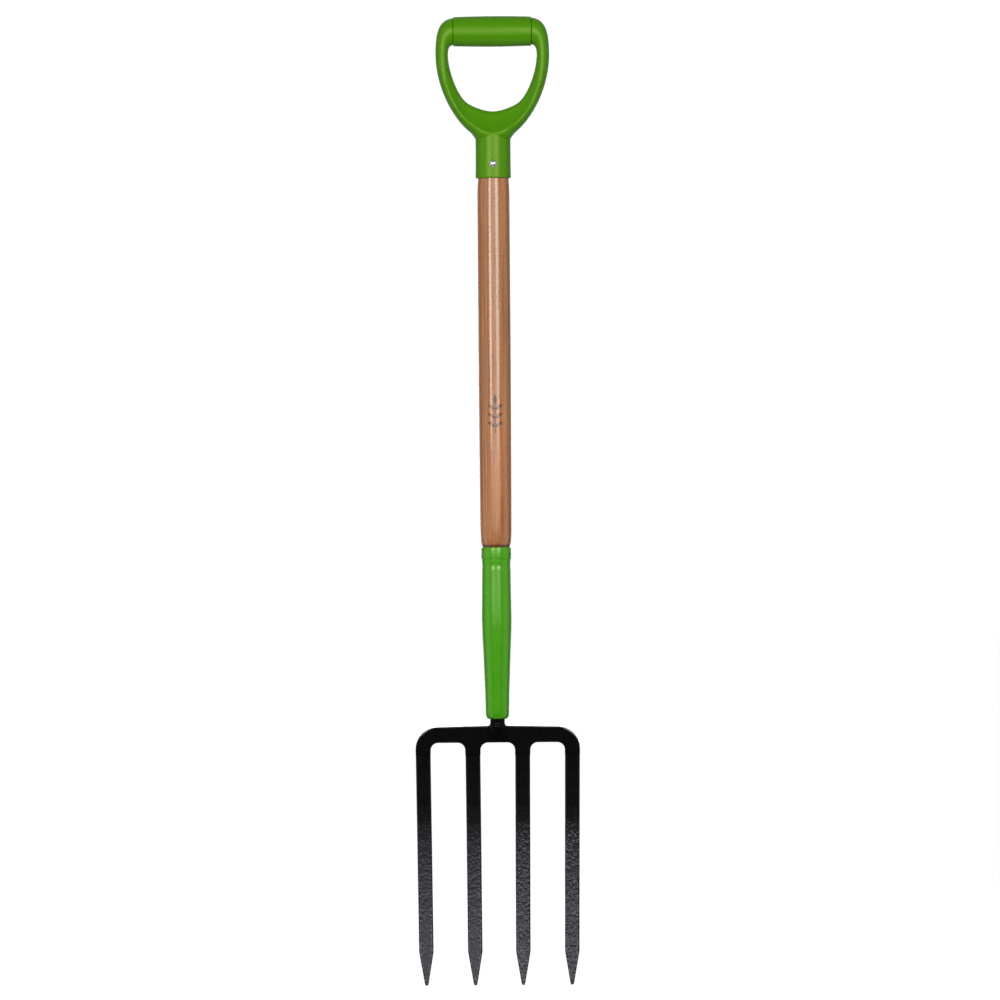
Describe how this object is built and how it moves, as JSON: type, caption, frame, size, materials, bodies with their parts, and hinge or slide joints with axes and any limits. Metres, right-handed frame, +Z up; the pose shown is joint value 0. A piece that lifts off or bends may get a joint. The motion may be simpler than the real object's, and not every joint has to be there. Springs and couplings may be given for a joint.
{
  "type": "digging fork",
  "caption": "Digging fork: forged head with straight tapered tines, steel ferrule, hardwood shaft and a moulded D-shaped grip with a crossbar.",
  "frame": {"origin": "on the shaft's axis, at the level of the tine tips, which is the bottom centre of the tool standing upright", "axes": "+Z up the shaft to the grip, -Y the front towards which the tines bow, +X across the tines"},
  "size_m": [0.1784, 0.0459, 1.05],
  "materials": {
    "forged_black": "satin black lacquer over a hammered forging",
    "ferrule_green": "gloss green powder coat",
    "shaft_wood": "clear-lacquered straight-grained hardwood",
    "grip_plastic": "satin moulded polypropylene",
    "bar_plastic": "satin moulded polypropylene",
    "zinc_bright": "bright zinc plate",
    "zinc_washer": "zinc plated, dull",
    "pin_steel": "zinc plated, set with a hammer"
  },
  "bodies": {
    "root": {"fork_head": "forged_black", "ferrule": "ferrule_green", "shaft": "shaft_wood", "grip_yoke": "grip_plastic", "grip_bar": "bar_plastic", "grip_rivet": "zinc_bright", "rivet_washer": "zinc_washer", "tang_pin": "pin_steel"}
  },
  "joints": []
}
